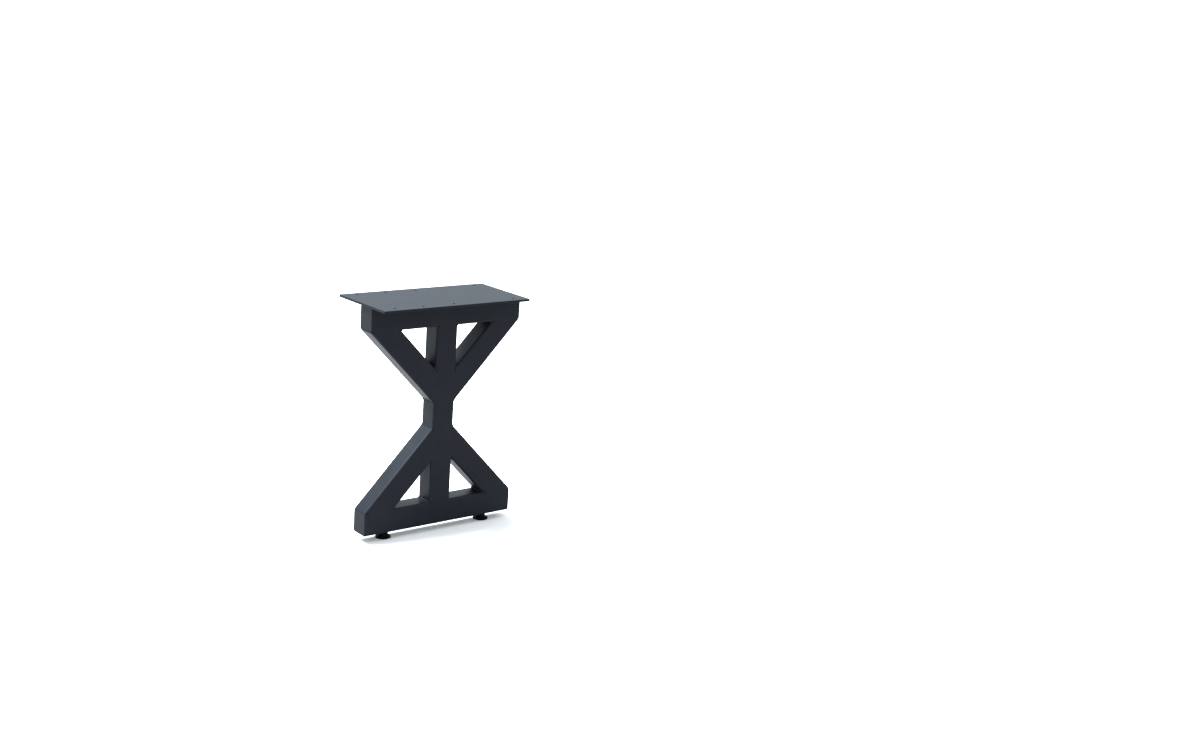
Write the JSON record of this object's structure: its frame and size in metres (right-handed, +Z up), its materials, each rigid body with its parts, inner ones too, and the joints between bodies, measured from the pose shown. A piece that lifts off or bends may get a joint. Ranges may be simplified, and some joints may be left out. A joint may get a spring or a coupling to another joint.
{
  "type": "table leg",
  "caption": "Welded steel table leg with an X of box tube round a central column, a drilled mounting plate on top and levelling feet below.",
  "frame": {"origin": "on the floor, under the middle of the whole leg's outline", "axes": "+X along the beams and the mounting plate's long side, +Y through the leg's depth, +Z up"},
  "size_m": [0.522, 0.25, 0.71],
  "materials": {
    "powder_coat": "fine satin powder coat",
    "zinc_steel": "zinc plated",
    "foot_plastic": "moulded matt"
  },
  "bodies": {
    "frame": {"mounting_plate": "powder_coat", "top_beam": "powder_coat", "bottom_beam": "powder_coat", "column": "powder_coat", "upper_left_brace": "powder_coat", "upper_right_brace": "powder_coat", "lower_left_brace": "powder_coat", "lower_right_brace": "powder_coat", "top_left_end_cap": "powder_coat", "top_right_end_cap": "powder_coat", "bottom_left_end_cap": "powder_coat", "bottom_right_end_cap": "powder_coat", "upper_groove_welds": "powder_coat", "lower_groove_welds": "powder_coat", "plate_welds": "powder_coat", "left_threaded_insert": "zinc_steel", "right_threaded_insert": "zinc_steel"},
    "left_foot": {"left_foot_stud": "zinc_steel", "left_foot_pad": "foot_plastic"},
    "right_foot": {"right_foot_stud": "zinc_steel", "right_foot_pad": "foot_plastic"}
  },
  "joints": [
    {"name": "left_foot_height", "type": "slide", "parent": "frame", "child": "left_foot", "axis": [0, 0, -1], "range_m": [0, 0.02]},
    {"name": "right_foot_height", "type": "slide", "parent": "frame", "child": "right_foot", "axis": [0, 0, -1], "range_m": [0, 0.02]}
  ]
}
